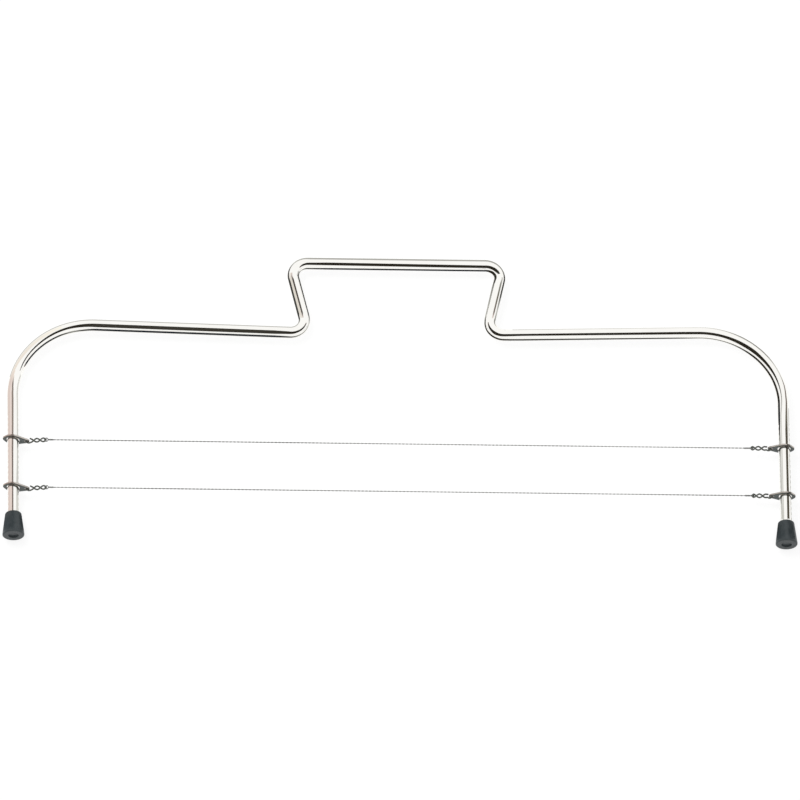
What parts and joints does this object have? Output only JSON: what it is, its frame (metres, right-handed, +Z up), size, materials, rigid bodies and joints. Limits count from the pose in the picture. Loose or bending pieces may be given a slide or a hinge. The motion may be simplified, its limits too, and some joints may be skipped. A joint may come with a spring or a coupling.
{
  "type": "cake leveler",
  "caption": "Wire cake leveler: a bent rod frame with handle, two rubber feet and two thin cutting wires held on notched legs by tilting plates.",
  "frame": {"origin": "middle of the outer box, on the table that the tool lies flat on", "axes": "+X across the two legs, +Y from the soles of the feet to the handle, +Z up from the table"},
  "size_m": [0.3332, 0.1334, 0.0092],
  "materials": {
    "frame_chrome": "bright plated",
    "foot_rubber": "satin",
    "plate_steel": "satin",
    "link_steel": "satin",
    "cutting_steel": "bright drawn"
  },
  "bodies": {
    "frame": {"frame_rod": "frame_chrome", "left_foot": "foot_rubber", "right_foot": "foot_rubber"},
    "lower_wire": {"lower_cutting_wire": "cutting_steel", "lower_left_wire_loop": "cutting_steel", "lower_right_wire_loop": "cutting_steel", "lower_left_link": "link_steel", "lower_right_link": "link_steel"},
    "lower_left_plate": {"lower_left_adjuster": "plate_steel"},
    "lower_right_plate": {"lower_right_adjuster": "plate_steel"},
    "upper_wire": {"upper_cutting_wire": "cutting_steel", "upper_left_wire_loop": "cutting_steel", "upper_right_wire_loop": "cutting_steel", "upper_left_link": "link_steel", "upper_right_link": "link_steel"},
    "upper_left_plate": {"upper_left_adjuster": "plate_steel"},
    "upper_right_plate": {"upper_right_adjuster": "plate_steel"}
  },
  "joints": [
    {"name": "lower_wire_height", "type": "slide", "parent": "frame", "child": "lower_wire", "axis": [0, 1, 0], "range_m": [-0.01, 0.01]},
    {"name": "lower_left_tilt", "type": "hinge", "parent": "lower_wire", "child": "lower_left_plate", "pos_m": [-0.15644, -0.04438, 0.0046], "axis": [0, 0, 1], "range_deg": [-2, 16]},
    {"name": "lower_right_tilt", "type": "hinge", "parent": "lower_wire", "child": "lower_right_plate", "pos_m": [0.1564, -0.0437, 0.0046], "axis": [0, 0, 1], "range_deg": [-9, 9]},
    {"name": "upper_wire_height", "type": "slide", "parent": "frame", "child": "upper_wire", "axis": [0, 1, 0], "range_m": [-0.0075, 0.01]},
    {"name": "upper_left_tilt", "type": "hinge", "parent": "upper_wire", "child": "upper_left_plate", "pos_m": [-0.15644, -0.02188, 0.0046], "axis": [0, 0, 1], "range_deg": [-2, 16]},
    {"name": "upper_right_tilt", "type": "hinge", "parent": "upper_wire", "child": "upper_right_plate", "pos_m": [0.1564, -0.0212, 0.0046], "axis": [0, 0, 1], "range_deg": [-9, 9]}
  ]
}
